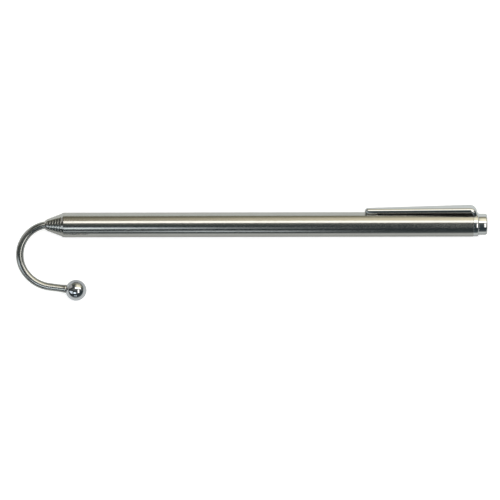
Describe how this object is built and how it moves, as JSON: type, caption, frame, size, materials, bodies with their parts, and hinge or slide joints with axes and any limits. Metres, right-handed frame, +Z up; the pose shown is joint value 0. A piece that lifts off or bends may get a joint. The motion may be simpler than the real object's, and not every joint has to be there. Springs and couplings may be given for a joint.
{
  "type": "telescoping magnetic pickup tool",
  "caption": "Pen-style telescoping pickup tool: nested steel tubes with a pocket clip at the tail and a bendable neck, curled into a hook, that carries a ball magnet.",
  "frame": {"origin": "centre of the flat end of the tail cap, on the barrel's axis", "axes": "+X along the barrel's axis, out of the tail; the nose points along -X; the neck's hook lies towards -Y; +Z up, with the tool lying on a flat surface 4.15 mm below the axis"},
  "size_m": [0.1571, 0.0321, 0.0087],
  "materials": {
    "brushed_stainless": "drawn stainless tube, finely brushed along its length",
    "satin_steel_rod": "satin steel rod",
    "chrome_plate": "bright chrome plate",
    "nickel_plate": "bright nickel plate over the magnet",
    "brass": "turned brass",
    "spring_bronze": "rolled spring bronze"
  },
  "bodies": {
    "barrel": {"outer_tube": "brushed_stainless", "tail_bush": "brass", "end_cap": "chrome_plate", "clip_collar": "chrome_plate"},
    "clip": {"pocket_clip": "chrome_plate"},
    "sleeve_2": {"friction_sleeve_2": "spring_bronze"},
    "section_2": {"section_tube_2": "brushed_stainless"},
    "sleeve_3": {"friction_sleeve_3": "spring_bronze"},
    "section_3": {"section_tube_3": "brushed_stainless"},
    "sleeve_4": {"friction_sleeve_4": "spring_bronze"},
    "section_4": {"section_tube_4": "brushed_stainless"},
    "sleeve_5": {"friction_sleeve_5": "spring_bronze"},
    "section_5": {"section_tube_5": "brushed_stainless"},
    "sleeve_6": {"friction_sleeve_6": "spring_bronze"},
    "section_6": {"section_tube_6": "brushed_stainless"},
    "sleeve_7": {"friction_sleeve_7": "spring_bronze"},
    "section_7": {"section_tube_7": "brushed_stainless", "neck_bush": "brass", "neck_root": "satin_steel_rod"},
    "neck_01": {"neck_link_01": "satin_steel_rod"},
    "neck_02": {"neck_link_02": "satin_steel_rod"},
    "neck_03": {"neck_link_03": "satin_steel_rod"},
    "neck_04": {"neck_link_04": "satin_steel_rod"},
    "neck_05": {"neck_link_05": "satin_steel_rod"},
    "neck_06": {"neck_link_06": "satin_steel_rod"},
    "neck_07": {"neck_link_07": "satin_steel_rod"},
    "neck_08": {"neck_link_08": "satin_steel_rod"},
    "neck_09": {"neck_link_09": "satin_steel_rod"},
    "neck_10": {"neck_link_10": "satin_steel_rod"},
    "neck_11": {"neck_link_11": "satin_steel_rod"},
    "neck_end": {"neck_tip": "satin_steel_rod", "magnet_ball": "nickel_plate"}
  },
  "joints": [
    {"name": "clip_flex", "type": "hinge", "parent": "barrel", "child": "clip", "pos_m": [-0.00357, 0.00311, 0.00145], "axis": [0, 0.4226, -0.9063], "range_deg": [0, 4.5], "stiffness_Nm_per_rad": 3, "springref_deg": -1.72},
    {"name": "section_2_slide", "type": "slide", "parent": "barrel", "child": "sleeve_2", "axis": [-1, 0, 0], "range_m": [0, 0.12]},
    {"name": "section_2_turn", "type": "hinge", "parent": "sleeve_2", "child": "section_2", "pos_m": [-0.014, 0, 0], "axis": [1, 0, 0], "continuous": true},
    {"name": "section_3_slide", "type": "slide", "parent": "section_2", "child": "sleeve_3", "axis": [-1, 0, 0], "range_m": [0, 0.12]},
    {"name": "section_3_turn", "type": "hinge", "parent": "sleeve_3", "child": "section_3", "pos_m": [-0.014, 0, 0], "axis": [1, 0, 0], "continuous": true},
    {"name": "section_4_slide", "type": "slide", "parent": "section_3", "child": "sleeve_4", "axis": [-1, 0, 0], "range_m": [0, 0.12]},
    {"name": "section_4_turn", "type": "hinge", "parent": "sleeve_4", "child": "section_4", "pos_m": [-0.014, 0, 0], "axis": [1, 0, 0], "continuous": true},
    {"name": "section_5_slide", "type": "slide", "parent": "section_4", "child": "sleeve_5", "axis": [-1, 0, 0], "range_m": [0, 0.12]},
    {"name": "section_5_turn", "type": "hinge", "parent": "sleeve_5", "child": "section_5", "pos_m": [-0.014, 0, 0], "axis": [1, 0, 0], "continuous": true},
    {"name": "section_6_slide", "type": "slide", "parent": "section_5", "child": "sleeve_6", "axis": [-1, 0, 0], "range_m": [0, 0.12]},
    {"name": "section_6_turn", "type": "hinge", "parent": "sleeve_6", "child": "section_6", "pos_m": [-0.014, 0, 0], "axis": [1, 0, 0], "continuous": true},
    {"name": "section_7_slide", "type": "slide", "parent": "section_6", "child": "sleeve_7", "axis": [-1, 0, 0], "range_m": [0, 0.12]},
    {"name": "section_7_turn", "type": "hinge", "parent": "sleeve_7", "child": "section_7", "pos_m": [-0.014, 0, 0], "axis": [1, 0, 0], "continuous": true},
    {"name": "neck_bend", "type": "hinge", "parent": "section_7", "child": "neck_01", "pos_m": [-0.14777, 0, 0], "axis": [0, -0.0298, 0.9996], "range_deg": [-18.9, 4.7]},
    {"name": "neck_bend_02", "type": "hinge", "parent": "neck_01", "child": "neck_02", "pos_m": [-0.15012, -0.0008, -0.00002], "axis": [0, -0.0298, 0.9996], "range_deg": [-13.97, 3.48]},
    {"name": "neck_bend_03", "type": "hinge", "parent": "neck_02", "child": "neck_03", "pos_m": [-0.1522, -0.00215, -0.00006], "axis": [0, -0.0298, 0.9996], "range_deg": [-13.97, 3.48]},
    {"name": "neck_bend_04", "type": "hinge", "parent": "neck_03", "child": "neck_04", "pos_m": [-0.1539, -0.00396, -0.00012], "axis": [0, -0.0298, 0.9996], "range_deg": [-13.97, 3.48]},
    {"name": "neck_bend_05", "type": "hinge", "parent": "neck_04", "child": "neck_05", "pos_m": [-0.15511, -0.00612, -0.00018], "axis": [0, -0.0298, 0.9996], "range_deg": [-13.97, 3.48]},
    {"name": "neck_bend_06", "type": "hinge", "parent": "neck_05", "child": "neck_06", "pos_m": [-0.15576, -0.00851, -0.00025], "axis": [0, -0.0298, 0.9996], "range_deg": [-13.97, 3.48]},
    {"name": "neck_bend_07", "type": "hinge", "parent": "neck_06", "child": "neck_07", "pos_m": [-0.15582, -0.01099, -0.00033], "axis": [0, -0.0298, 0.9996], "range_deg": [-13.97, 3.48]},
    {"name": "neck_bend_08", "type": "hinge", "parent": "neck_07", "child": "neck_08", "pos_m": [-0.15527, -0.01341, -0.0004], "axis": [0, -0.0298, 0.9996], "range_deg": [-13.97, 3.48]},
    {"name": "neck_bend_09", "type": "hinge", "parent": "neck_08", "child": "neck_09", "pos_m": [-0.15416, -0.01562, -0.00047], "axis": [0, -0.0298, 0.9996], "range_deg": [-13.97, 3.48]},
    {"name": "neck_bend_10", "type": "hinge", "parent": "neck_09", "child": "neck_10", "pos_m": [-0.15233, -0.01776, -0.00053], "axis": [0, -0.0298, 0.9996], "range_deg": [-13.97, 3.48]},
    {"name": "neck_bend_11", "type": "hinge", "parent": "neck_10", "child": "neck_11", "pos_m": [-0.15004, -0.01939, -0.00058], "axis": [0, -0.0298, 0.9996], "range_deg": [-13.97, 3.48]},
    {"name": "neck_bend_12", "type": "hinge", "parent": "neck_11", "child": "neck_end", "pos_m": [-0.14743, -0.02042, -0.00061], "axis": [0, -0.0298, 0.9996], "range_deg": [-13.97, 3.48]}
  ],
  "couplings": [
    {"joint": "neck_bend_02", "follows": "neck_bend", "ratio": 0.73862},
    {"joint": "neck_bend_03", "follows": "neck_bend", "ratio": 0.73862},
    {"joint": "neck_bend_04", "follows": "neck_bend", "ratio": 0.73862},
    {"joint": "neck_bend_05", "follows": "neck_bend", "ratio": 0.73862},
    {"joint": "neck_bend_06", "follows": "neck_bend", "ratio": 0.73862},
    {"joint": "neck_bend_07", "follows": "neck_bend", "ratio": 0.73862},
    {"joint": "neck_bend_08", "follows": "neck_bend", "ratio": 0.73862},
    {"joint": "neck_bend_09", "follows": "neck_bend", "ratio": 0.73862},
    {"joint": "neck_bend_10", "follows": "neck_bend", "ratio": 0.73862},
    {"joint": "neck_bend_11", "follows": "neck_bend", "ratio": 0.73862},
    {"joint": "neck_bend_12", "follows": "neck_bend", "ratio": 0.73862}
  ]
}
